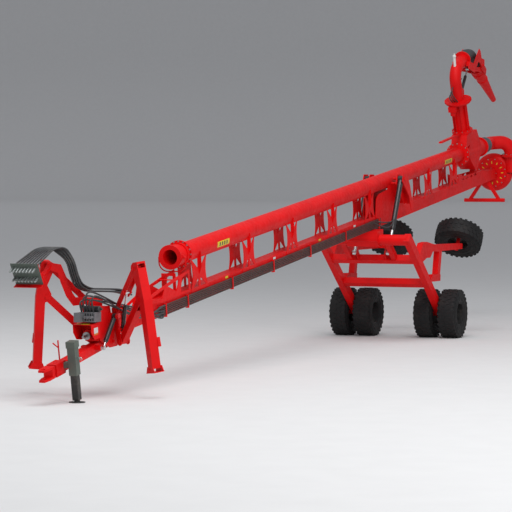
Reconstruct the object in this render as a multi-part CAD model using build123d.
from build123d import *
import os
from math import cos, sin, sqrt, radians, pi

# Trailed lagoon pump, driven by a tractor's shaft.  Millimetres.
# The machine is laid out from the point on the ground under the axle:
# +X to its right-hand side, +Y to the rear where the pump is, +Z up.
# Every node is written with the drawbar pin as origin, so ROW_SHIFT moves it there.

# ---- driving dimensions -------------------------------------------------------
HITCH_Y, HITCH_Z = -13050.0, 361.0   # drawbar pin, ahead of the axle and above ground
DRAWBAR_TILT = 10.5                  # the drawbar rises this much to the rear
HITCH_BORE_R = 26.0
CLEVIS_GAP = 96.0
EAR_T = 26.0

BOOM_TILT = 6.818                    # slope of the pipe and the beam
PIPE_Z = 2793.0                      # pipe axis above the axle
PIPE_R, PIPE_WALL = 136.5, 6.3
PIPE_FRONT, PIPE_REAR = -9200.0, 3450.0
BEAM_HALF, BEAM_TOP, BEAM_BOTTOM, BEAM_WALL = 105.0, -500.0, -700.0, 8.0
BEAM_FRONT, BEAM_REAR = -10250.0, 5560.0
WALL_S = -11930.0                     # front wall, behind the shaft's hood
PLATE = 8.0                          # cut side plates
SHAFT_N = -600.0                     # drive line below the pipe axis, inside the beam
SHAFT_R = 30.0
LINE_X, LINE_R = 132.0, 10.0           # steel lines along the beam's right side
YOKE_T = 14.0                         # yoke plates
YOKE_GAP = 47.0                       # from a lift ram's middle to the plate beside it

TYRE_R, TYRE_W, RIM_R = 415.0, 318.0, 190.5
WHEEL_X = (552.0, 984.0)             # inner and outer wheel of a pair
SIDE_WHEEL = (660.0, 1400.0, 1690.0)
LEG_X, LEG_W, LEG_D = 768.0, 105.0, 150.0
PIVOT = (-1750.0, 1720.0)            # axle frame pivot, as (y, z)
PIVOT_R = 90.0
CROSS_AT = (560.0, 1257.0)           # cross tubes, down the frame from its pivot
CYL_X = 300.0                        # lift cylinders, each side
LIFT_TOP, LIFT_LOW = (-750.0, 2740.0), (-1396.0, 1492.0)

LEG_MID = Vector(665.0, -11722.0, 1232.0)     # lower arm's bolt on the right leg
LEG_FOOT = Vector(797.0, -11677.0, 397.0)
ARM = Vector(-455.0, 405.0, -560.0)           # from a leg's pivot to the frame's
ARM_PITCH = 386.0                             # between the two arms

DRAWBAR_PIVOT = (-11400.0, 665.0)
STEER_X = 165.0
STEER_TOP, STEER_LOW = (-11476.0, 985.0), (-11793.0, 612.0)
JACK_X, JACK_Y = 190.0, -12617.0
JACK_SIZE, JACK_INNER = 104.0, 84.0
PIN_R, PIN_FIT = 20.0, 0.05
GAP = 0.3                                     # between bodies that only lie close

HOUSE_HALF, HOUSE_WALL = 150.0, 12.0
SLEEVE_END = 5230.0                   # rubber sleeve's rear, along the pipe
VOLUTE_R, SCROLL_R = 270.0, 115.0
RISER_TILT, RISER_R = 25.0, 109.5
RISER_FOOT = Vector(0.0, 3700.0, 3660.0)
SLEW_AT = 640.0
NOZZLE_PIVOT = (4500.0, 4930.0)
NOZZLE_DIP = 25.7
TILT_LOW, TILT_TOP = (3640.0, 4390.0), (4030.0, 4835.0)

ROW_SHIFT = Vector(0.0, -HITCH_Y, -HITCH_Z)
X, Y, Z = Vector(1, 0, 0), Vector(0, 1, 0), Vector(0, 0, 1)
BOOM = Plane(origin=(0, 0, PIPE_Z), x_dir=(1, 0, 0),
             z_dir=(0, -sin(radians(BOOM_TILT)), cos(radians(BOOM_TILT))))
nodes = {}


# ---- helpers ------------------------------------------------------------------
def keep(name, *solids):
    """One node from one or more separate solids."""
    flat = []
    for item in solids:
        flat += list(item.solids())
    nodes[name] = flat


def block(x0, x1, y0, y1, z0, z1):
    size = (x1 - x0, y1 - y0, z1 - z0)
    return Pos((x0 + x1) / 2, (y0 + y1) / 2, (z0 + z1) / 2) * Box(*size)


def rod(start, end, radius):
    start, end = Vector(*start), Vector(*end)
    way = end - start
    return Solid.make_cylinder(radius, way.length, Plane(origin=start, z_dir=way))


def tube(start, end, outer, inner):
    way = (Vector(*end) - Vector(*start)).normalized()
    return rod(start, end, outer) - rod(Vector(*start) - way, Vector(*end) + way, inner)


def bar(start, end, across, deep, side=(1, 0, 0)):
    """A rectangular bar between two points; across is measured along side."""
    start, end = Vector(*start), Vector(*end)
    way = end - start
    place = Plane(origin=start, x_dir=side, z_dir=way)
    return place.location * Pos(0, 0, way.length / 2) * Box(across, deep, way.length)


def plate(points, x0, x1):
    """A flat outline of (y, z) points, from x0 to x1."""
    face = Plane.YZ * make_face(Polyline(*points, close=True))
    return Pos(x0, 0, 0) * extrude(face, amount=x1 - x0, dir=(1, 0, 0))


def outline(points, thick):
    """A flat outline of (x, y) points in a local plane, standing on z = 0."""
    return extrude(make_face(Polyline(*points, close=True)), amount=thick, dir=(0, 0, 1))


def in_boom(solid):
    """From (across, along the pipe, above the pipe axis) to the machine."""
    return BOOM.location * solid


def boom_point(x, along, above):
    return BOOM.from_local_coords(Vector(x, along, above))


def mirrored(solid):
    return mirror(solid, about=Plane.YZ)


def both(solid):
    return [solid, mirrored(solid)]


def at_x(yz, x):
    return Vector(x, yz[0], yz[1])


def hex_bolt(centre, axis, across, high):
    base = Plane(origin=centre, z_dir=axis)
    return base.location * extrude(RegularPolygon(across / 2, 6), amount=high)


def swept(points, radii, radius):
    path = FilletPolyline(*[Vector(*p) for p in points], radius=radii)
    start = Plane(origin=path @ 0, z_dir=path % 0)
    return sweep(start * Circle(radius), path=path)


def bend_radii(points, share=0.45):
    """The largest arc that the two runs at each corner leave room for."""
    pts = [Vector(*p) for p in points]
    radii = []
    for before, here, after in zip(pts, pts[1:], pts[2:]):
        turn = radians((here - before).get_angle(after - here))
        shorter = min((here - before).length, (after - here).length)
        radii.append(share * shorter / (sin(turn / 2) / cos(turn / 2)))
    return radii


# ---- pipe, beam and their cut supports ----------------------------------------
def pipe_and_inlet():
    ring = 188.0
    pipe = tube((0, PIPE_FRONT, 0), (0, PIPE_REAR, 0), PIPE_R, PIPE_R - PIPE_WALL)
    keep("discharge_pipe", in_boom(pipe))
    face = PIPE_FRONT - 30
    flange = tube((0, face, 0), (0, PIPE_FRONT, 0), ring, PIPE_R - PIPE_WALL)
    collar = tube((0, face - 300, 0), (0, face, 0), 148.0, 105.0)
    lip = tube((0, face - 300, 0), (0, face - 270, 0), 168.0, 120.0)
    step = tube((0, face - 60, 0), (0, face, 0), 164.0, 120.0)
    body = flange + collar + lip + step
    for side in (-1, 1):
        body += rod((side * 160, face - 235, 0), (side * 172, face - 235, 0), 24)
        body += block(min(side * 140, side * 170), max(side * 140, side * 170),
                      face - 265, face - 205, -30, 30)
        body -= rod((side * 150, face - 235, 0), (side * 190, face - 235, 0), 9.0 + PIN_FIT)
    keep("inlet_flange", in_boom(body))
    bolts = []
    for k in range(16):
        turn = 2 * pi * k / 16
        spot = Vector(176 * cos(turn), face, 176 * sin(turn))
        bolts.append(hex_bolt(spot, (0, -1, 0), 22, 12))
    return [in_boom(b) for b in bolts], face - 235


def bail(pivot_along):
    """Carrying bow of the inlet, hanging from two ears."""
    reach = 196.0
    low = 200.0
    points = [(-152, pivot_along, 0), (-reach, pivot_along, 0), (-reach, pivot_along, -low),
              (reach, pivot_along, -low), (reach, pivot_along, 0), (152, pivot_along, 0)]
    keep("inlet_bail", in_boom(swept(points, [20, 120, 120, 20], 9.0)))


def support_plate(wide, tall_to):
    """One cut X-shaped plate, drawn as (along, above), before it is placed."""
    half, waist, mid = wide / 2, wide * 0.36, -315.0
    low, high = BEAM_TOP - 40, tall_to
    left = ThreePointArc((-half, low), (-waist, mid), (-half * 0.94, high))
    right = ThreePointArc((half * 0.94, high), (waist, mid), (half, low))
    top = Line((-half * 0.94, high), (half * 0.94, high))
    bottom = Line((half, low), (-half, low))
    face = make_face([left, top, right, bottom])
    for side in (-1, 1):
        upper = Polyline((side * 32, high - 30), (side * half * 0.78, high - 30),
                         (side * 40, mid + 70), close=True)
        lower = Polyline((side * 32, low + 45), (side * half * 0.72, low + 45),
                         (side * 36, mid - 60), close=True)
        face -= make_face(upper)
        face -= make_face(lower)
    return face


def supports():
    stations = (-8845.0, -7075.0, -5366.0, -3620.0, -1860.0, 1285.0, 2805.0)
    pieces = []
    hollow = rod((0, PIPE_FRONT, 0), (0, PIPE_REAR, 0), PIPE_R)
    for along in stations:
        wide = 600.0 if along in (stations[0], stations[-1]) else 520.0
        face = support_plate(wide, -70.0)
        slab = Pos(BEAM_HALF, along, 0) * extrude(Plane.YZ * face, amount=PLATE, dir=(1, 0, 0))
        fin = Plane.XZ * make_face(Polyline((BEAM_HALF + PLATE, -340), (152, -230), (150, -15),
                                            (120, -15), (BEAM_HALF + PLATE, -90), close=True))
        fin = Pos(0, along - 5, 0) * extrude(fin, amount=10, dir=(0, 1, 0))
        one = (slab + fin) - hollow
        pieces += both(in_boom(one))
    keep("pipe_supports", *pieces)


def beams():
    """Front run and rear run of the square beam, butted under the lift yoke."""
    joint = -60.0
    runs = []
    for start, end in ((BEAM_FRONT, joint), (joint, BEAM_REAR)):
        whole = block(-BEAM_HALF, BEAM_HALF, start, end, BEAM_BOTTOM, BEAM_TOP)
        core = block(-BEAM_HALF + BEAM_WALL, BEAM_HALF - BEAM_WALL, start - 1, end + 1,
                     BEAM_BOTTOM + BEAM_WALL, BEAM_TOP - BEAM_WALL)
        runs.append(in_boom(whole - core))
    keep("main_beam", *runs)


def lines_and_clips():
    tubes = []
    for row in range(6):
        above = -560.0 - 25 * row
        tubes.append(in_boom(rod((LINE_X, -10230, above), (LINE_X, -1400, above), LINE_R)))
    keep("hydraulic_lines", *tubes)
    clips = []
    for along in (-10037.0, -9327.0, -7784.0, -6226.0, -4706.0, -3122.0, -1500.0):
        seat = BEAM_HALF + (YOKE_T if along > -1600 else 0)
        strap = block(seat, 152, along - 12, along + 12, -716, -536)
        strap -= block(seat - 1, LINE_X + LINE_R + GAP, along - 13, along + 13, -698, -546)
        clips.append(in_boom(strap))
    keep("line_clips", *clips)


# ---- front frame ----------------------------------------------------------------
LEG_UP = (LEG_MID - LEG_FOOT).normalized()
LEG_ACROSS = ARM.cross(LEG_UP * -1).normalized()         # bolt axis, to the inner front
LEG_OUT = LEG_UP.cross(LEG_ACROSS).normalized()
LEG = Plane(origin=LEG_MID, x_dir=LEG_OUT, z_dir=LEG_ACROSS)
ARM_P = ARM.dot(LEG_OUT)
ARM_Q = ARM.dot(LEG_UP)
TOP_PIN, MID_PIN = (0.0, ARM_PITCH), (0.0, 0.0)
FRAME_TOP_PIN = (ARM_P, ARM_PITCH + ARM_Q)
FRAME_LOW_PIN = (ARM_P, ARM_Q)
RAM_TOP = (0.55 * ARM_P, ARM_PITCH + 0.55 * ARM_Q - 12)
RAM_LOW = (ARM_P + 34, ARM_Q + 150)
ARM_IN = 44.0                       # half the width of an arm
EAR_IN = 52.0                       # inner face of the ears that hold it


def in_leg(solid):
    return LEG.location * solid


def leg_point(pq, w=0.0):
    return LEG.from_local_coords(Vector(pq[0], pq[1], w))


def strip(a, b, radius, w0, w1):
    """A round-ended link between two points of the leg's plane."""
    a3, b3 = Vector(a[0], a[1], w0), Vector(b[0], b[1], w0)
    link = rod(a3, a3 + Vector(0, 0, w1 - w0), radius)
    link += rod(b3, b3 + Vector(0, 0, w1 - w0), radius)
    middle = (a3 + b3) * 0.5
    way = b3 - a3
    slab = Plane(origin=middle, x_dir=way, z_dir=(0, 0, 1)).location
    link += slab * Pos(0, 0, (w1 - w0) / 2) * Box(way.length, 2 * radius, w1 - w0)
    return link


def post():
    """Two ears that hold both arms and the ram of one leg, on the frame's flank."""
    body = None
    for side in (1, -1):
        w0 = EAR_IN if side > 0 else -EAR_IN - 12
        ear = strip(FRAME_TOP_PIN, FRAME_LOW_PIN, 58, w0, w0 + 12)
        body = ear if body is None else body + ear
    for pin in (FRAME_TOP_PIN, FRAME_LOW_PIN, RAM_LOW):
        body -= Pos(pin[0], pin[1], 0) * Cylinder(PIN_R, 200)
        body += Pos(pin[0], pin[1], 0) * Cylinder(PIN_R, 2 * EAR_IN + 24)
        for side in (1, -1):
            head = Pos(pin[0], pin[1], side * (EAR_IN + 18)) * Cylinder(30, 14)
            body += head
    return body


def front_frame():
    front = -11400.0
    whole = block(-BEAM_HALF, BEAM_HALF, front, BEAM_FRONT, BEAM_BOTTOM, BEAM_TOP)
    core = block(-BEAM_HALF + BEAM_WALL, BEAM_HALF - BEAM_WALL, front - 1, BEAM_FRONT + 1,
                 BEAM_BOTTOM + BEAM_WALL, BEAM_TOP - BEAM_WALL)
    body = in_boom(whole - core)
    cheek = plate([(-11820, 1120), (-11490, 1120), (-11420, 950), (-11215, 900), (-11180, 740), (-11274, 600),
                   (-11480, 592), (-11735, 690), (-11820, 760)], BEAM_HALF - 12, BEAM_HALF)
    cheek -= rod((80, *DRAWBAR_PIVOT), (120, *DRAWBAR_PIVOT), PIN_R)
    for piece in both(cheek):
        body += piece
    shelf = in_boom(block(-BEAM_HALF + 12, BEAM_HALF - 12, WALL_S - 12, WALL_S, -690, -330))
    shelf -= in_boom(rod((0, WALL_S - 20, SHAFT_N), (0, WALL_S + 20, SHAFT_N), 70))
    body += shelf
    lid = block(-BEAM_HALF + 12, BEAM_HALF - 12, -11820, -11500, 1100, 1118)
    body += lid
    truss = Pos(BEAM_HALF, 0, 0) * extrude(Plane.YZ * truss_face(), amount=PLATE, dir=(1, 0, 0))
    truss -= rod((0, PIPE_FRONT - 400, 0), (0, PIPE_REAR, 0), 190)
    for piece in both(in_boom(truss)):
        body += piece
    deck = in_boom(block(-BEAM_HALF, BEAM_HALF, -9700, -9640, -286, -278))
    body += deck
    upright = in_boom(block(-BEAM_HALF, BEAM_HALF, -9610, -9600, -500, -205))
    upright -= in_boom(block(-60, 60, -9620, -9590, -440, -240))
    body += upright
    # The ram's own ear is hung from the frame with the arms' ears.
    right = in_leg(post())
    for piece in both(right):
        body += piece
    pin = rod((-BEAM_HALF - 16, *DRAWBAR_PIVOT), (BEAM_HALF + 16, *DRAWBAR_PIVOT), PIN_R)
    body += pin
    # lug for the drawbar ram, on the right-hand cheek
    lug = plate([(STEER_TOP[0] - 40, STEER_TOP[1] - 60), (STEER_TOP[0] + 70, STEER_TOP[1] - 60),
                 (STEER_TOP[0] + 45, STEER_TOP[1] + 45), (STEER_TOP[0] - 45, STEER_TOP[1] + 45)],
                BEAM_HALF, STEER_X - 30)
    body += lug
    body += rod(at_x(STEER_TOP, BEAM_HALF), at_x(STEER_TOP, STEER_X + 34), PIN_R)
    body += rod(at_x(STEER_TOP, STEER_X + 22), at_x(STEER_TOP, STEER_X + 34), 32)
    keep("front_frame", body)


def truss_face():
    face = make_face(Polyline((-11120, -540), (-10290, -345), (-9660, -262), (-9180, -215),
                              (-9150, -520), (-10235, -520), (-10290, -560), (-11120, -690), close=True))
    windows = [[(-9420, -290), (-9215, -262), (-9215, -480), (-9480, -480)],
               [(-9880, -335), (-9510, -295), (-9620, -440)],
               [(-10420, -410), (-9990, -350), (-10080, -470)],
               [(-10940, -535), (-10500, -440), (-10560, -520)]]
    for window in windows:
        face -= make_face(Polyline(*window, close=True))
    return face


# ---- shaft, hood and hydraulic gear at the front ---------------------------------
def drive_line():
    start, end = -12180.0, 5920.0
    line = rod((0, start + 90, SHAFT_N), (0, end - 150, SHAFT_N), SHAFT_R)
    spline = rod((0, start, SHAFT_N), (0, start + 90, SHAFT_N), 17.4)
    line += spline
    line += rod((0, start + 92, SHAFT_N), (0, start + 110, SHAFT_N), 50)
    keep("drive_shaft", in_boom(line))
    hub = tube((0, end - 150, SHAFT_N), (0, end - 40, SHAFT_N), 62, 8)
    disc = rod((0, end - 60, SHAFT_N), (0, end - 40, SHAFT_N), 190)
    wheel = hub + disc
    for k in range(5):
        vane = Pos(0, end - 105, SHAFT_N) * Rot(0, 72 * k, 0) * Pos(120, 0, 0)
        wheel += vane * Rot(0, 25, 0) * Box(130, 92, 12)
    keep("impeller", in_boom(wheel))


def hood_and_gear():
    s0, s1 = WALL_S - 262, WALL_S - 12
    low, high, half = -640.0, -440.0, 128.0
    shell = block(-half, half, s0, s1, low, high) - block(-half + 6, half - 6, s0 - 1, s1 - 8,
                                                          low + 6, high - 6)
    slant = Pos(0, s0, low) * Rot(38, 0, 0) * Box(400, 120, 300)
    shell -= slant
    shell -= in_local_cylinder(s0 - 10, s1 + 10, 72)
    shell = in_boom(shell) - block(-BEAM_HALF - 2, BEAM_HALF + 2, -11820, -11700, 600, 1000)
    housing = tube((0, WALL_S - 110, SHAFT_N), (0, WALL_S, SHAFT_N), 70, SHAFT_R + PIN_FIT)
    keep("pto_hood", max(shell.solids(), key=lambda s: s.volume), in_boom(housing))
    body = block(-78, 0, -12120, -11900, 941, 1059)
    spools = [rod((x, -12000, 1000), (x, -12060, 1000), 16) for x in (40, 80, 120)]
    base = block(0, 150, -12000, -11820, 940, 1062)
    grooved = base
    for k in range(4):
        grooved -= block(14 + 34 * k, 32 + 34 * k, -12010, -11960, 955, 1048)
    keep("valve_block", grooved, body, *spools)
    tank = rod((-40, -11900, 1100.3), (180, -11900, 1100.3), 38)
    tank = fillet(tank.edges().filter_by(GeomType.CIRCLE), 16)
    neck = rod((179, -11900, 1100.3), (205, -11900, 1100.3), 14)
    keep("accumulator", tank + neck)


def in_local_cylinder(s0, s1, radius):
    return rod((0, s0, SHAFT_N), (0, s1, SHAFT_N), radius)


# ---- drawbar, hitch and jack -------------------------------------------------------
DRAW = Plane(origin=(0, HITCH_Y, HITCH_Z), x_dir=(1, 0, 0),
             z_dir=(0, -sin(radians(DRAWBAR_TILT)), cos(radians(DRAWBAR_TILT))))
SWIVEL_START, SWIVEL_R = 205.0, 30.0


def in_draw(solid):
    return DRAW.location * solid


def hitch():
    ear = None
    half = CLEVIS_GAP / 2
    for side in (-1, 1):
        z0 = half if side > 0 else -half - EAR_T
        face = make_face(Polyline((-38, -62), (38, -62), (62, 40), (62, 175), (-62, 175),
                                  (-62, 40), close=True))
        one = Pos(0, 0, z0) * extrude(face, amount=EAR_T, dir=(0, 0, 1))
        ear = one if ear is None else ear + one
    ear += block(-62, 62, 110, 175, -half, half)
    ear += rod((0, 170, 0), (0, SWIVEL_START, 0), 52)
    ear += rod((0, 170, 0), (0, 470, 0), SWIVEL_R)
    ear -= rod((0, 0, -120), (0, 0, 120), HITCH_BORE_R)
    keep("hitch_clevis", in_draw(ear))


def drawbar():
    rear = Vector(*DRAW.to_local_coords(Vector(0, *DRAWBAR_PIVOT)))
    socket = block(-66, 66, SWIVEL_START + GAP, 440, -78, 78)
    socket += rod((0, SWIVEL_START + GAP, 0), (0, SWIVEL_START + 40, 0), 70)
    beam_end = rear.Y
    body = socket + bar((0, 436, 0), (0, beam_end, rear.Z), 110, 118)
    body += rod((-88, rear.Y, rear.Z), (88, rear.Y, rear.Z), 59)
    body -= rod((-120, rear.Y, rear.Z), (120, rear.Y, rear.Z), PIN_R + PIN_FIT)
    body -= rod((0, SWIVEL_START - 20, 0), (0, 480, 0), SWIVEL_R + PIN_FIT)
    ram = DRAW.to_local_coords(at_x(STEER_LOW, 0))
    lug = bar((0, ram.Y, ram.Z - 22), (0, ram.Y, ram.Z + 22), 2 * (STEER_X - 32), 60)
    body += lug
    body += rod((0, ram.Y, ram.Z), (STEER_X - 22.3, ram.Y, ram.Z), PIN_R + 8)
    body += block(-40, 40, 300, 420, 70, 78)
    post_at = 560.0
    holder = rod((-50, post_at, -10), (-81, post_at, -10), 9)
    holder += rod((-72, post_at, -10), (-72, post_at, 290), 9)
    holder += rod((-72, post_at, 195), (-72, post_at - 130, 285), 8)
    keep("drawbar", in_draw(body + holder))


def jack_local():
    """The jack stands square to the drawbar: z along it, origin at its foot pin."""
    drop = Vector(0, sin(radians(DRAWBAR_TILT)), -cos(radians(DRAWBAR_TILT)))
    top = Vector(JACK_X, JACK_Y - 70, 753.0)
    return Plane(origin=top, x_dir=(1, 0, 0), z_dir=drop * -1)


def jack():
    place = jack_local()
    half, inner = JACK_SIZE / 2, JACK_INNER / 2
    long_out = 420.0
    outer = block(-half, half, -half, half, -long_out, -8)
    room = inner + 2 * GAP
    outer -= block(-room, room, -room, room, -long_out - 1, -30)
    cap = block(-half - 8, half + 8, -half - 8, half + 8, -78, 0)
    cap -= block(-inner, inner, -inner, inner, -79, -31)
    outer += cap
    saddle = block(-JACK_X + 66, -half, -38, 38, -330, -262)
    outer += saddle
    outer -= Pos(half, 0, -200) * Rot(0, 90, 0) * Cylinder(9 + PIN_FIT, 30)
    keep("jack_tube", place.location * outer)
    travel = (753.0 - 34.0) / cos(radians(DRAWBAR_TILT))
    leg = block(-inner, inner, -inner, inner, -travel, -300)
    leg -= block(-inner + 6, inner - 6, -inner + 6, inner - 6, -travel + 12, -299)
    leg = place.location * leg
    ankle = place.from_local_coords(Vector(0, 0, -travel))
    foot = Pos(ankle.X, ankle.Y, 5) * Cylinder(100, 10)
    foot += Pos(ankle.X, ankle.Y, 25) * Cylinder(36, 34)
    keep("jack_leg", leg + foot)
    pin = Pos(half + 20, 0, -200) * Rot(0, 90, 0) * Cylinder(9, 56)
    ring = Pos(half + 47, 0, -216) * Rot(90, 0, 0) * Torus(16, 4)
    keep("jack_pin", place.location * (pin + ring))


# ---- rams ------------------------------------------------------------------------
def ram(low, high, barrel_from, bore_r, rod_r, barrel_part, reach_end):
    """Barrel and rod on the line low to high; barrel_from names the barrel's end."""
    base, tip = (low, high) if barrel_from == "low" else (high, low)
    way = (tip - base).normalized()
    span = (tip - base).length
    mouth = span * barrel_part
    sleeve = rod(base + way * 42, base + way * mouth, bore_r)
    sleeve += rod(base, base + way * 60, bore_r * 0.62)
    bore = rod(base + way * 60, base + way * (mouth + 1), rod_r + PIN_FIT)
    inner = tube(base + way * (mouth - 1), base + way * (mouth + 22), bore_r * 0.8,
                 rod_r + PIN_FIT)
    sleeve = sleeve + inner - bore
    shaft = rod(base + way * (span * reach_end), tip, rod_r)
    return sleeve, shaft, way


def eye(centre, axis, outer, inner, width):
    axis = Vector(*axis).normalized()
    a, b = centre - axis * (width / 2), centre + axis * (width / 2)
    return tube(a, b, outer, inner)


def lift_rams():
    barrels, rods = [], []
    for side in (1, -1):
        low, top = at_x(LIFT_LOW, side * CYL_X), at_x(LIFT_TOP, side * CYL_X)
        sleeve, shaft, way = ram(low, top, "high", 44, 24, 0.68, 0.3)
        sleeve += eye(top, (1, 0, 0), 46, PIN_R, 88)
        sleeve -= rod(top - X * 60, top + X * 60, PIN_R + PIN_FIT)
        barrels.append(sleeve)
        shaft += rod(low - X * 28, low + X * 28, 40)
        shaft += rod(low - X * 44.7, low + X * 44.7, PIN_R)
        rods.append(shaft)
    keep("lift_barrels", *barrels)
    keep("lift_rods", *rods)


def drawbar_ram():
    low, top = at_x(STEER_LOW, STEER_X), at_x(STEER_TOP, STEER_X)
    sleeve, shaft, way = ram(low, top, "high", 30, 15, 0.78, 0.3)
    sleeve += eye(top, (1, 0, 0), 38, PIN_R, 40)
    sleeve -= rod(top - X * 40, top + X * 40, PIN_R + PIN_FIT)
    keep("drawbar_ram_barrel", sleeve)
    keep("drawbar_ram_rod", shaft + rod(low - X * 22, low + X * 22, 28))


# ---- support legs -------------------------------------------------------------------
def leg_side(name, place):
    """One folding leg; place turns the right-hand leg into this one."""
    wall = 8.0
    high = ARM_PITCH + 70
    shell = [(18, -70), (-32, -880), (78, -880), (140, -20), (118, high), (20, high),
             (-42, ARM_PITCH + 34), (-48, ARM_PITCH - 30), (14, 150), (-50, 44), (-50, -36)]
    body = Pos(0, 0, -60) * outline(shell, 120)
    core = [(-22, -900), (68, -900), (131, -22), (110, high - 10), (-60, high - 10),
            (-60, ARM_PITCH - 150), (26, 120), (-60, 90), (-60, -150), (23, -150)]
    body -= Pos(0, 0, -EAR_IN) * outline(core, 2 * EAR_IN)
    window = Pos(114, ARM_PITCH + 18, 0) * Box(60, 52, 2 * EAR_IN - 8)
    body -= window
    for pin in (TOP_PIN, MID_PIN):
        body += Pos(pin[0], pin[1], 0) * Cylinder(PIN_R, 120)
        for side in (1, -1):
            body += Pos(pin[0], pin[1], side * 66) * Cylinder(28, 14)
    sole = outline([(-78, -930), (128, -930), (96, -880 + 30), (-40, -880 + 30)], 10)
    body += Pos(0, 0, 60) * sole
    body += Pos(0, 0, -70) * sole
    pad = Pos(25, -925, 0) * Box(206, 10, 140)
    pad -= Pos(25, -925, 0) * Box(90, 12, 80)
    body += pad
    body += Pos(0, -882, 70) * Cylinder(17, 12)
    flag = Pos(103, -560, -78) * Box(10, 120, 40)
    body += flag
    keep(name + "_leg", place(in_leg(body)))

    upper = strip(FRAME_TOP_PIN, TOP_PIN, 38, ARM_IN - 10, ARM_IN)
    half_way = (0.62 * ARM_P, ARM_PITCH + 0.62 * ARM_Q)
    upper += strip(half_way, TOP_PIN, 38, -ARM_IN, -ARM_IN + 10)
    for pin in (FRAME_TOP_PIN, TOP_PIN):
        upper += Pos(pin[0], pin[1], 0) * Cylinder(38, 2 * ARM_IN)
        upper -= Pos(pin[0], pin[1], 0) * Cylinder(PIN_R + PIN_FIT, 200)
    web_start = (0.42 * ARM_P, ARM_PITCH + 0.42 * ARM_Q)
    web_end = (0.08 * ARM_P, ARM_PITCH + 0.08 * ARM_Q)
    a = Vector(web_start[0], web_start[1], 0)
    b = Vector(web_end[0], web_end[1], 0)
    cover = bar(a, b, 2 * ARM_IN, 8, side=(0, 0, 1))
    upper += cover
    bush = Pos(RAM_TOP[0], RAM_TOP[1], ARM_IN + 8) * Cylinder(26, 16)
    upper += bush
    upper += Pos(RAM_TOP[0], RAM_TOP[1], -ARM_IN - 8) * Cylinder(26, 16)
    keep(name + "_upper_arm", place(in_leg(upper)))

    lower = strip(FRAME_LOW_PIN, MID_PIN, 44, -ARM_IN, ARM_IN)
    way = Vector(MID_PIN[0] - FRAME_LOW_PIN[0], MID_PIN[1] - FRAME_LOW_PIN[1], 0).normalized()
    start = Vector(*FRAME_LOW_PIN, 0) + way * 150
    end = Vector(*MID_PIN, 0) - way * 90
    lower -= bar(start, end, 2 * ARM_IN - 16, 2 * 36, side=(0, 0, 1))
    slot_a = Vector(*FRAME_LOW_PIN, 0) + way * 640
    lower -= bar(slot_a, slot_a + way * 150, 2 * ARM_IN - 16, 200, side=(0, 0, 1))
    for pin in (FRAME_LOW_PIN, MID_PIN):
        lower -= Pos(pin[0], pin[1], 0) * Cylinder(PIN_R + PIN_FIT, 200)
    keep(name + "_lower_arm", place(in_leg(lower)))

    low = Vector(*RAM_LOW, 0)
    top = Vector(*RAM_TOP, 0)
    sleeve, shaft, way = ram(low, top, "low", 27, 14, 0.62, 0.2)
    sleeve += eye(low, (0, 0, 1), 34, PIN_R, 40)
    sleeve -= rod(low - Z * 40, low + Z * 40, PIN_R + PIN_FIT)
    keep(name + "_ram_barrel", place(in_leg(sleeve)))
    shaft += rod(top - Z * 33.7, top + Z * 33.7, 20)
    keep(name + "_ram_rod", place(in_leg(shaft)))


# ---- hose rack --------------------------------------------------------------------
RACK_X0, RACK_X1 = -880.0, -490.0
RACK = Plane(origin=(RACK_X0, -12130, 1400), x_dir=(1, 0, 0), z_dir=(0, -0.72, -0.42))
HOSES = 8
HOSE_R = 11.0


def rack():
    wide = RACK_X1 - RACK_X0
    tall = 300.0
    up = Vector(*RACK.y_dir)
    rise = tall if up.Z > 0 else -tall
    face = block(0, wide, min(0, rise), max(0, rise), -8, 0)
    lip = block(0, wide, -6 if rise > 0 else -rise, 0, -8, 70)
    cheeks = block(wide - 8, wide, min(0, rise) * 0.5, max(0, rise) * 0.5, -70, -8)
    body = RACK.location * (face + lip + cheeks)
    arm = [(ARM_P - 40, -230), (ARM_P + 40, -230), (ARM_P + 90, -20), (-330, -70), (-230, 40),
           (-140, 210), (-90, 330), (60, 372), (60, 452), (-120, 440), (-215, 270),
           (-300, 100), (-350, 40), (ARM_P + 60, 60), (ARM_P - 40, 40)]
    swan = Pos(0, 0, 108) * outline(arm, 14)
    swan += Pos(ARM_P, -200, 86) * Cylinder(24, 44)
    for spot in ((-165, 238), (-282, 10)):
        swan += Pos(spot[0], spot[1], 126) * Cylinder(20, 14)
    swan = mirrored(in_leg(swan)) - nodes["front_frame"][0]
    swan = max(swan.solids(), key=lambda s: s.volume)
    tip = mirrored(in_leg(Pos(20, 412, 100) * Box(90, 70, 30)))
    tie_start = tip.center()
    middle = RACK.from_local_coords(Vector(wide - 30, rise * 0.2, -64))
    tie = bar(tie_start, middle, 50, 50, side=(0, 0.3, 1))
    keep("coupler_rack", body + swan + tip + tie)
    couplers = []
    ends = []
    pitch = (wide - 30) / HOSES
    for row in range(2):
        for k in range(HOSES):
            spot = Vector(22 + pitch * k, rise * (0.32 if row == 0 else 0.78), 0)
            base = RACK.from_local_coords(spot)
            way = RACK.z_dir
            one = rod(base + way * 0, base + way * 62, 16) + rod(base + way * 62,
                                                                 base + way * 90, 12)
            couplers.append(one)
            nut = rod(base - way * 8, base - way * 34, 15)
            couplers.append(nut)
            if row == 1:
                ends.append(base - way * (34 + GAP))
    keep("couplers", *couplers)
    return ends


HOSE_BACK = [(-40, 120, 190), (-20, 300, 260), (60, 430, 150), (90, 470, -60),
             (120, 480, -260), (150, 540, -430)]


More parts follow.
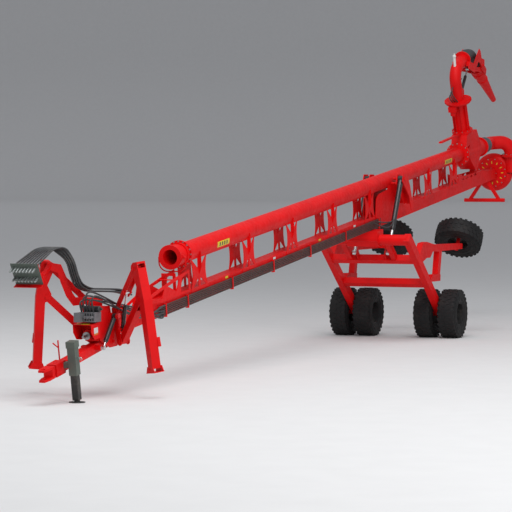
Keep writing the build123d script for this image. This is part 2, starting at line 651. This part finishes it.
def hoses(ends):
    """Hoses rise from the rack, fall inside the left leg and run to the steel lines."""
    solids = []
    for k, start in enumerate(ends):
        col, row = k // 2, k % 2
        way = RACK.z_dir * -1
        pitch = 30.0
        dx, dz = (col - 1.5) * pitch, row * pitch
        points = [start, start + way * 80,
                  Vector(-560 + 36 * (k - 3.5), -11960, 1840),
                  Vector(-440 + 32 * (k - 3.5), -11850, 1860),
                  Vector(-300 + dx, -11800 + dz, 1700),
                  Vector(-255 + dx, -11770 + dz, 1500),
                  Vector(-225 + dx, -11720 + dz, 1365 + dz),
                  Vector(-170 + dx, -11560 + dz * 0.3, 1300 + dz),
                  Vector(-60 + dx, -11330, 1290 + dz),
                  Vector(0 + dx, -11060, 1275 + dz),
                  Vector(30 + dx, -10800, 1225 + dz)]
        radii = bend_radii(points, 0.42)
        solids.append(swept(points, radii, HOSE_R))
    keep("supply_hoses", *solids)
    print("hose bends", [round(r) for r in radii])


# ---- axle frame -----------------------------------------------------------------------
DOWN = Vector(0, -PIVOT[0], TYRE_R - PIVOT[1]).normalized()     # along a leg, to the axle
FRONT = Vector(0, DOWN.Z, -DOWN.Y)                               # square to it, front and down


def frame_at(x, along, ahead=0.0):
    return Vector(x, PIVOT[0], PIVOT[1]) + DOWN * along + FRONT * ahead


def axle_frame():
    reach = (Vector(0, 0, TYRE_R) - frame_at(0, 0)).length
    body = rod(frame_at(-LEG_X, 0), frame_at(LEG_X, 0), PIVOT_R)
    inside = rod(frame_at(-LEG_X + 60, 0), frame_at(LEG_X - 60, 0), PIVOT_R - 16)
    for side in (1, -1):
        body += bar(frame_at(side * LEG_X, -LEG_D / 2), frame_at(side * LEG_X, reach + 70),
                    LEG_W, LEG_D)
        inside += bar(frame_at(side * LEG_X, 100), frame_at(side * LEG_X, reach - 120),
                      LEG_W - 20, LEG_D - 20)
    for along in CROSS_AT:
        body += bar(frame_at(-LEG_X + 40, along), frame_at(LEG_X - 40, along), 100, 120,
                    side=tuple(DOWN))
        inside += bar(frame_at(-LEG_X + 80, along), frame_at(LEG_X - 80, along), 80, 100,
                      side=tuple(DOWN))
    body -= inside
    for side in (1, -1):
        body += bar(frame_at(side * 390, 60), frame_at(side * 390, CROSS_AT[0]), 84, 100)
        ear_shape = [(540, -58), (540, 58), (440, 22), (385, 5), (378, -45), (410, -76)]
        ear_yz = [(frame_at(0, *spot).Y, frame_at(0, *spot).Z) for spot in ear_shape]
        for offset in (-52, 52):
            x = side * CYL_X + offset
            body += plate(ear_yz, x - 7, x + 7)
        spindle = rod((side * (WHEEL_X[0] - 60), 0, TYRE_R), (side * (WHEEL_X[1] + 60), 0, TYRE_R),
                      38)
        body += spindle
    keep("axle_frame", body, *side_wheel_arms())


def side_wheel_arms():
    x0, x1 = 712.0, 812.0
    pieces = []
    upper = plate([(-1300, 1440), (-1090, 1655), (-880, 1672), (-440, 1615), (1090, 1600),
                   (1130, 1590), (1130, 1500), (-60, 1496), (-160, 1100), (-130, 1090),
                   (-140, 985), (-470, 985), (-640, 990), (-660, 1040), (-560, 1110),
                   (-300, 1105), (-210, 1490), (-560, 1500), (-700, 1400), (-900, 1400), (-1130, 1330)],
                  x0, x1)
    for spot, cut in (((-790, 1455), 60), ((-400, 1040), 40)):
        upper -= block(x0 + 16, x1 - 16, spot[0] - 160, spot[0] + cut, spot[1] - 34, spot[1] + 30)
    frame_side = bar(frame_at(LEG_X, -200), frame_at(LEG_X, 2200), LEG_W + 200, LEG_D)
    upper -= frame_side
    upper = max(upper.solids(), key=lambda s: s.volume)
    hub = Vector(*SIDE_WHEEL)
    stub = rod(hub + FRONT * 262, hub - FRONT * 60, 34)
    carrier_at = hub + FRONT * 232
    carrier = block(carrier_at.X - 50, x0 + 4, 1030, 1300, 1500, 1590)
    one = upper + carrier + stub
    return both(one)


def bearing_block():
    """Split block under the beam that holds the axle frame's pivot tube."""
    half, bore = 280.0, PIVOT_R + PIN_FIT
    under = boom_point(0, 0, BEAM_BOTTOM)
    slope = sin(radians(BOOM_TILT)) / cos(radians(BOOM_TILT))
    y0, y1 = PIVOT[0] - 150, PIVOT[0] + 150

    def roof(y):
        return under.Z + (y - under.Y) * slope
    top = plate([(y0, PIVOT[1] + 4), (y0, roof(y0)), (y1, roof(y1)), (y1, PIVOT[1] + 4)],
                -half, half)
    shape = [(y0, PIVOT[1] - 22), (y0, PIVOT[1]), (y1, PIVOT[1]), (y1, PIVOT[1] - 22),
             (PIVOT[0] + 108, PIVOT[1] - 30), (PIVOT[0] + 60, PIVOT[1] - 112),
             (PIVOT[0] - 60, PIVOT[1] - 112), (PIVOT[0] - 108, PIVOT[1] - 30)]
    cap = plate(shape, -half, half)
    hole = rod(at_x(PIVOT, -half - 10), at_x(PIVOT, half + 10), bore)
    top, cap = top - hole, cap - hole
    return [top, cap]


def lift_yoke():
    """Side plates that tie pipe and beam together and carry the lift rams."""
    inner = plate([(-1510, 2085), (-1480, 2400), (-1350, 2480), (-900, 2560), (-840, 2800),
                   (-640, 2815), (-470, 2790), (-330, 2500), (-120, 2420), (-60, 2190),
                   (-700, 2010), (-1300, 1985)], BEAM_HALF, BEAM_HALF + YOKE_T)
    pipe_cut = in_boom(rod((0, PIPE_FRONT, 0), (0, PIPE_REAR, 0), PIPE_R))
    cheek = plate([(-860, 2640), (-790, 2812), (-600, 2812), (-440, 2620), (-300, 2330),
                   (-420, 2300), (-560, 2420)], CYL_X - YOKE_GAP - YOKE_T, CYL_X - YOKE_GAP)
    far = plate([(-840, 2690), (-790, 2812), (-600, 2812), (-440, 2620), (-300, 2330),
                 (-260, 2250), (-360, 2200), (-480, 2440)], CYL_X + YOKE_GAP, CYL_X + YOKE_GAP + YOKE_T)
    back = plate([(-470, 2660), (-440, 2620), (-300, 2330), (-330, 2310)], CYL_X - YOKE_GAP, CYL_X + YOKE_GAP)
    web = plate([(-430, 2600), (-400, 2590), (-290, 2340), (-330, 2320)], BEAM_HALF + YOKE_T,
                CYL_X - YOKE_GAP)
    tie = plate([(-790, 2660), (-760, 2680), (-560, 2460), (-580, 2430)], BEAM_HALF + YOKE_T,
                CYL_X - YOKE_GAP - YOKE_T)
    one = (inner - pipe_cut) + (cheek + far + back + web + tie - pipe_cut)
    top = at_x(LIFT_TOP, 0)
    one += rod(top + X * (BEAM_HALF + 60), top + X * (CYL_X + 75), PIN_R) - pipe_cut
    one += rod(top + X * (CYL_X + 61), top + X * (CYL_X + 75), 32)
    one = max(one.solids(), key=lambda s: s.volume)
    keep("lift_yoke", *both(one), *bearing_block())


# ---- wheels ---------------------------------------------------------------------------
def wheel(centre, axis, hub_r):
    """Tyre and rim on an axis: a hollow carcass round a dished steel rim."""
    axis = Vector(*axis).normalized()
    place = Plane(origin=centre, x_dir=(1, 0, 0) if abs(axis.X) < 0.5 else (0, 1, 0), z_dir=axis)
    half, side = TYRE_W / 2, TYRE_W / 2 - 26
    section = Polyline((RIM_R, -side), (RIM_R + 60, -half), (TYRE_R - 60, -half + 4),
                       (TYRE_R - 8, -side), (TYRE_R, -side + 30), (TYRE_R, side - 30),
                       (TYRE_R - 8, side), (TYRE_R - 60, half - 4), (RIM_R + 60, half),
                       (RIM_R, side), close=True)
    hollow = Polyline((RIM_R - 1, -side + 24), (RIM_R + 64, -half + 20), (TYRE_R - 70, -half + 26),
                      (TYRE_R - 34, 0), (TYRE_R - 70, half - 26), (RIM_R + 64, half - 20),
                      (RIM_R - 1, side - 24), close=True)
    face = Plane.XZ * (make_face(section) - make_face(hollow))
    tyre = revolve(face, Axis.Z)
    rim_side = side - 6
    rim = tube((0, 0, -rim_side), (0, 0, rim_side), RIM_R, RIM_R - 8)
    rim += tube((0, 0, rim_side - 150), (0, 0, rim_side - 138), RIM_R - 6, hub_r)
    rim += tube((0, 0, rim_side - 190), (0, 0, rim_side - 100), 70, hub_r)
    for k in range(6):
        turn = 2 * pi * k / 6
        rim += Pos(102 * cos(turn), 102 * sin(turn), rim_side - 132) * Cylinder(11, 14)
    return place.location * tyre, place.location * rim


def wheels():
    for name, side in (("right", 1), ("left", -1)):
        tyres, rims = [], []
        for x, out in zip(WHEEL_X, (-1, 1)):
            tyre, rim = wheel(Vector(side * x, 0, TYRE_R), (side * out, 0, 0), 38 + PIN_FIT)
            tyres.append(tyre)
            rims.append(rim)
        keep(name + "_dual_tyres", *tyres)
        keep(name + "_dual_rims", *rims)
        hub = Vector(side * SIDE_WHEEL[0], *SIDE_WHEEL[1:])
        tyre, rim = wheel(hub, tuple(FRONT), 34 + PIN_FIT)
        keep(name + "_side_tyre", tyre)
        keep(name + "_side_rim", rim)


# ---- pump end ---------------------------------------------------------------------------
def pump():
    face = 5700.0
    deep = 240.0
    mid = face + deep / 2
    case = rod((0, face, SHAFT_N), (0, face + deep, SHAFT_N), VOLUTE_R)
    scroll = Pos(0, mid, SHAFT_N) * Rot(90, 0, 0) * Torus(VOLUTE_R - 10, SCROLL_R)
    case += scroll
    neck_x = VOLUTE_R + 85
    case += rod((neck_x, mid, SHAFT_N), (neck_x, mid, SHAFT_N + 330), PIPE_R)
    room = rod((0, face + 24, SHAFT_N), (0, face + deep - 24, SHAFT_N), VOLUTE_R - 22)
    case -= room
    case -= rod((0, face - 60, SHAFT_N), (0, face + 40, SHAFT_N), 232)
    case -= rod((neck_x, mid, SHAFT_N - 20), (neck_x, mid, SHAFT_N + 331), PIPE_R - 14)
    case -= rod((neck_x, mid, SHAFT_N + 330), (neck_x, mid, SHAFT_N + 400), 196)
    ring = tube((neck_x, mid, SHAFT_N + 306), (neck_x, mid, SHAFT_N + 330), 185, PIPE_R - 15)
    case += ring
    keep("volute", in_boom(case))
    cover = tube((0, face - 26, SHAFT_N), (0, face - GAP, SHAFT_N), 292, SHAFT_R + 6)
    cover -= rod((0, face - 27, SHAFT_N), (0, face, SHAFT_N), SHAFT_R + 6)
    cover += tube((0, face - 90, SHAFT_N), (0, face - 26, SHAFT_N), 118, SHAFT_R + 6)
    cover += tube((0, face - GAP, SHAFT_N), (0, face + 26, SHAFT_N), 220, SHAFT_R + 6)
    keep("pump_cover", in_boom(cover))
    bolts = []
    for k in range(12):
        turn = 2 * pi * (k + 0.5) / 12
        spot = Vector(272 * cos(turn), face - 26, SHAFT_N + 272 * sin(turn))
        bolts.append(in_boom(hex_bolt(spot, (0, -1, 0), 22, 12)))
    for k in range(8):
        turn = 2 * pi * k / 8
        spot = Vector(98 * cos(turn), face - 90, SHAFT_N + 98 * sin(turn))
        bolts.append(in_boom(hex_bolt(spot, (0, -1, 0), 18, 10)))
    top = SHAFT_N + 330
    points = [(neck_x, mid, top), (neck_x, mid, 0), (0, mid - 260, 0), (0, SLEEVE_END, 0)]
    bend = swept(points, [230, 200], PIPE_R - 6)
    bend -= swept(points, [230, 200], PIPE_R - 16)
    tail = tube((neck_x, mid, top), (neck_x, mid, top + 24), 185, PIPE_R - 15)
    bend += tail
    keep("discharge_elbow", in_boom(bend))
    for k in range(12):
        turn = 2 * pi * (k + 0.5) / 12
        spot = Vector(neck_x + 166 * cos(turn), mid + 166 * sin(turn), top + 24)
        bolts.append(in_boom(hex_bolt(spot, (0, 0, 1), 22, 12)))
    return bolts


def diverter():
    f1, f2 = PIPE_REAR, 4850.0
    bolts = []
    ring1 = tube((0, f1, 0), (0, f1 + 36, 0), 226, PIPE_R - PIPE_WALL)
    ring2 = tube((0, f2 - 30, 0), (0, f2, 0), 190, PIPE_R - 14)
    pipe1 = rod((0, f1, 0), (0, f2, 0), PIPE_R + 20)
    core = rod((0, f1 - 5, 0), (0, f2 + 5, 0), PIPE_R - 14)
    box_face = make_face(Polyline((3690, 40), (3930, 330), (4230, 400), (4560, 10), (4200, -350),
                                  (4080, -350), (3800, -160), close=True))
    house = Pos(-HOUSE_HALF, 0, 0) * extrude(Plane.YZ * box_face, amount=2 * HOUSE_HALF, dir=(1, 0, 0))
    slot = block(-132, 132, 4080, 4110.5, -298 - GAP, 330)
    inside = Plane.YZ * offset(box_face, amount=-HOUSE_WALL)
    room = Pos(HOUSE_WALL - HOUSE_HALF, 0, 0) * extrude(inside, amount=2 * (HOUSE_HALF - HOUSE_WALL),
                                                        dir=(1, 0, 0))
    room -= block(-200, 200, 4050, 4140, -500, 500)
    room -= pipe1
    room -= BOOM.location.inverse() * in_riser(rod((0, 0, -330), (0, 0, 0), RISER_R + 12))
    body = ring1 + ring2 + pipe1 + house
    body -= room
    body += in_boom_inverse_riser()
    body -= core
    body -= slot
    keep("diverter_body", in_boom(body), hose_arm())
    blade = block(-130, 130, 4083, 4107, -298, 160)
    blade -= rod((0, 4060, -80), (0, 4130, -80), 100)
    keep("gate_blade", in_boom(blade))
    band = tube((0, f2, 0), (0, SLEEVE_END, 0), PIPE_R + 14, PIPE_R - 14)
    for start in (f2 + 40, f2 + 250):
        band += tube((0, start, 0), (0, start + 26, 0), PIPE_R + 19, PIPE_R + 12)
    keep("coupling_sleeve", in_boom(band))
    post = block(-50, 50, 4330, 4420, BEAM_TOP, -120)
    post -= rod((0, f1, 0), (0, f2, 0), PIPE_R + 20)
    post -= house
    post = max(post.solids(), key=lambda s: s.volume)
    fin = Pos(BEAM_HALF - PLATE, 0, 0) * extrude(Plane.YZ * rear_fin_face(), amount=PLATE,
                                                  dir=(1, 0, 0))
    keep("pump_struts", in_boom(post), *both(in_boom(fin)), *skid())
    for k in range(14):
        turn = 2 * pi * (k + 0.5) / 14
        spot = Vector(204 * cos(turn), f1, 204 * sin(turn))
        bolts.append(in_boom(hex_bolt(spot, (0, -1, 0), 22, 12)))
    for k in range(12):
        turn = 2 * pi * (k + 0.5) / 12
        spot = Vector(174 * cos(turn), f2, 174 * sin(turn))
        bolts.append(in_boom(hex_bolt(spot, (0, 1, 0), 18, 10)))
    return bolts


def rear_fin_face():
    face = make_face(Polyline((3110, BEAM_TOP), (3110, -330), (3420, -405), (4700, -440),
                              (5000, BEAM_TOP), close=True))
    for y in (3300, 3560, 3830, 4100):
        face -= make_face(Polyline((y, -480), (y + 190, -480), (y + 120, -430), close=True))
    return face


def skid():
    """Rest under the pump: a cross tube on two sloping legs."""
    low, at = 2335.0, 5189.0
    pieces = rod((-405, at, low), (405, at, low), 36)
    under = boom_point(0, at, BEAM_BOTTOM)
    for side in (1, -1):
        leg = bar((side * 300, at, low), (side * 20, at + 10, under.Z + 40), 60, 60,
                  side=(0, 1, 0))
        pieces += leg
    beam = in_boom(block(-BEAM_HALF, BEAM_HALF, -60, BEAM_REAR, BEAM_BOTTOM, BEAM_TOP))
    pieces -= beam
    solid = max(pieces.solids(), key=lambda s: s.volume)
    return [solid]


RISE = Vector(0, -sin(radians(RISER_TILT)), cos(radians(RISER_TILT)))
RISER = Plane(origin=RISER_FOOT, x_dir=(1, 0, 0), z_dir=RISE)


def in_riser(solid):
    return RISER.location * solid


def in_boom_inverse_riser():
    """The riser's foot, in boom coordinates, to be joined to the diverter's body."""
    foot = rod((0, 0, -330), (0, 0, 0), RISER_R + 12) + rod((0, 0, -24), (0, 0, 0), 190)
    wedge = Pos(-150, 0, 0) * extrude(Plane.YZ * make_face(
        Polyline((-330, -210), (-190, -20), (190, -20), (150, -300), close=True)), amount=300,
        dir=(1, 0, 0))
    body = in_riser(foot + wedge)
    return BOOM.location.inverse() * body


def hose_arm():
    arm = bar(boom_point(0, 2420, 330), boom_point(0, 3680, 370), 60, 30)
    far = in_boom(Pos(0, 0, 0) * rod((0, PIPE_FRONT, 0), (0, PIPE_REAR + 60, 0), 227))
    arm -= far
    arm -= in_riser(rod((0, 0, 0), (0, 0, 260), 192))
    arm -= BOOM.location * in_boom_inverse_riser()
    return max(arm.solids(), key=lambda s: s.volume)


def riser():
    top = SLEW_AT
    body = tube((0, 0, 0), (0, 0, top - 36), RISER_R, RISER_R - 8)
    body += tube((0, 0, 0), (0, 0, 24), 190, RISER_R - 8)
    body += tube((0, 0, top - 60), (0, 0, top - 36), 235, RISER_R - 8)
    for k in range(8):
        turn = 45 * k + 22.5
        rib = Pos(0, 0, 24) * Rot(0, 0, turn) * block(RISER_R - 2, RISER_R + 42, -5, 5, 0,
                                                      top - 84)
        body += rib
    strut = rod((0, 175, 24), (0, 150, top - 60), 36)
    body += strut
    body -= rod((0, 0, -5), (0, 0, top + 5), RISER_R - 8)
    motor = rod((-60, -205, top - 240), (-60, -205, top - 60), 52)
    plate_m = block(-130, 20, -262, -150, top - 160, top - 60)
    motor = (motor + plate_m) - rod((0, 0, 0), (0, 0, top), 158)
    motor = max((motor - body).solids(), key=lambda s: s.volume)
    keep("riser_tube", in_riser(body), in_riser(motor))
    bolts = []
    for k in range(10):
        turn = 2 * pi * k / 10
        spot = Vector(170 * cos(turn), 170 * sin(turn), 24)
        bolts.append(in_riser(hex_bolt(spot, (0, 0, 1), 20, 11)))
    return bolts


def upper_pipe():
    start = SLEW_AT - 36 + GAP
    s = RISER.from_local_coords(Vector(0, 0, start))
    knee = RISER.from_local_coords(Vector(0, 0, SLEW_AT + 560))
    end = Vector(0, 3720, 5010)
    points = [s, knee, end]
    body = swept(points, [230], RISER_R)
    way = (end - knee).normalized()
    flange = rod(end - way * 24, end, 158)
    slew = in_riser(rod((0, 0, start), (0, 0, start + 26), 255))
    body += flange + slew
    inner = swept(points, [230], RISER_R - 8)
    body -= inner
    body -= rod(end - way * 30, end + way * 10, RISER_R - 8)
    body -= in_riser(rod((0, 0, start - 5), (0, 0, start + 60), RISER_R - 8))
    fork = plate([(3560, 4820), (3640, 4960), (3900, 4925), (4200, 5190), (4260, 5230),
                  (4330, 5190), (4400, 5060), (4590, 5040), (4600, 4950), (4540, 4870),
                  (4440, 4880), (4330, 4960), (4190, 4980), (3960, 4760), (3740, 4800)],
                 158, 170)
    fork -= rod(at_x(NOZZLE_PIVOT, 150), at_x(NOZZLE_PIVOT, 180), PIN_R + PIN_FIT)
    for side in both(fork):
        body += side
    for side in (1, -1):
        body += block(min(side * 100, side * 170), max(side * 100, side * 170), 3630, 3700,
                      4870, 4960)
    body -= inner
    body -= rod(end - way * 30, end + way * 10, RISER_R - 8)
    lug = plate([(3440, 4330), (3480, 4480), (3680, 4430), (3680, 4350), (3560, 4280)], 32, 46)
    for side in both(lug):
        body += side
    body -= inner
    body += rod(at_x(TILT_LOW, -46), at_x(TILT_LOW, 46), PIN_R)
    hook = plate([(3330, 5030), (3350, 5150), (3420, 5175), (3500, 5110), (3470, 5080),
                  (3410, 5110), (3390, 5020)], -130, -118)
    hook += block(-130, -60, 3340, 3400, 4990, 5040)
    body += hook - inner
    solid = max(body.solids(), key=lambda s: s.volume)
    valve = rod((0, 3262, 4770), (0, 3200, 5010), 24) + Pos(0, 3196, 5030) * Sphere(34)
    valve += rod((0, 3200, 5050), (0, 3196, 5086), 14)
    solid_v = valve - solid
    keep("upper_pipe", solid)
    keep("air_valve", max(solid_v.solids(), key=lambda s: s.volume))
    return end, way


def nozzle(end, way):
    aim = Vector(0, cos(radians(NOZZLE_DIP)), -sin(radians(NOZZLE_DIP)))
    root = Vector(0, *NOZZLE_PIVOT)
    inlet = root + aim * 40
    body = rod(inlet, inlet + aim * 500, 100) - rod(inlet - aim, inlet + aim * 501, 84)
    body += rod(inlet + aim * 60, inlet + aim * 320, 128) - rod(inlet, inlet + aim * 400, 99)
    cone = Plane(origin=inlet + aim * 500, z_dir=aim)
    length = 880.0
    outer = Solid.make_cone(100, 52, length, plane=cone)
    inner = Solid.make_cone(84, 42, length, plane=cone)
    body += outer - inner
    for at in (190.0, 500.0):
        ring = tube(inlet + aim * at, inlet + aim * (at + 34), 136 if at < 300 else 108, 90)
        body += ring
    for side in (1, -1):
        cheek = plate([(4430, 4860), (4430, 4985), (4540, 5000), (4800, 4870), (4770, 4780),
                       (4600, 4800)], 136, 148)
        cheek = cheek if side > 0 else mirrored(cheek)
        body += cheek
        body += block(min(side * 96, side * 140), max(side * 96, side * 140), 4600, 4720,
                      4800, 4880)
        body += rod(at_x(NOZZLE_PIVOT, side * 137), at_x(NOZZLE_PIVOT, side * 186), PIN_R)
        lever = plate([(TILT_TOP[0] - 40, TILT_TOP[1] - 40), (TILT_TOP[0] - 40, TILT_TOP[1] + 30),
                       (4560, 4900), (4700, 4830), (4600, 4780), (4400, 4800)], 120, 132)
        lever = lever if side > 0 else mirrored(lever)
        body += lever
    body -= rod(inlet - aim * 60, inlet + aim * 501, 84)
    for side in (1, -1):
        body += rod(at_x(TILT_TOP, side * 28.3), at_x(TILT_TOP, side * 132), 24)
    keep("nozzle", max(body.solids(), key=lambda s: s.volume))
    low, top = at_x(TILT_LOW, 0), at_x(TILT_TOP, 0)
    sleeve, shaft, _ = ram(low, top, "low", 30, 14, 0.66, 0.2)
    sleeve += eye(low, (1, 0, 0), 36, PIN_R, 40)
    sleeve -= rod(low - X * 40, low + X * 40, PIN_R + PIN_FIT)
    keep("tilt_ram_barrel", sleeve)
    keep("tilt_ram_rod", shaft + rod(top - X * 28, top + X * 28, 26))
    hose_pts = [end, end + way * 170, Vector(0, 4210, 5120), inlet - aim * 60]
    hose = swept(hose_pts, bend_radii(hose_pts, 0.42), 112)
    hose -= swept(hose_pts, bend_radii(hose_pts, 0.42), 98)
    keep("nozzle_hose", hose)


# ---- build everything ---------------------------------------------------------------------
bolts, bail_at = pipe_and_inlet()
bail(bail_at)
beams()
supports()
lines_and_clips()
front_frame()
drive_line()
hood_and_gear()
hitch()
drawbar()
jack()
lift_rams()
drawbar_ram()
for side_name, turn in (("right", lambda s: s), ("left", mirrored)):
    leg_side(side_name, turn)
hoses(rack())
axle_frame()
lift_yoke()
wheels()
bolts += pump()
bolts += diverter()
bolts += riser()
keep("flange_bolts", *bolts)
pipe_end, pipe_way = upper_pipe()
nozzle(pipe_end, pipe_way)

os.makedirs("parts", exist_ok=True)
for name, solids in nodes.items():
    moved = [Pos(*ROW_SHIFT) * one for one in solids]
    whole = moved[0] if len(moved) == 1 else Compound(children=moved)
    whole.label = name
    export_step(whole, f"parts/{name}.step")
print(len(nodes), "nodes")
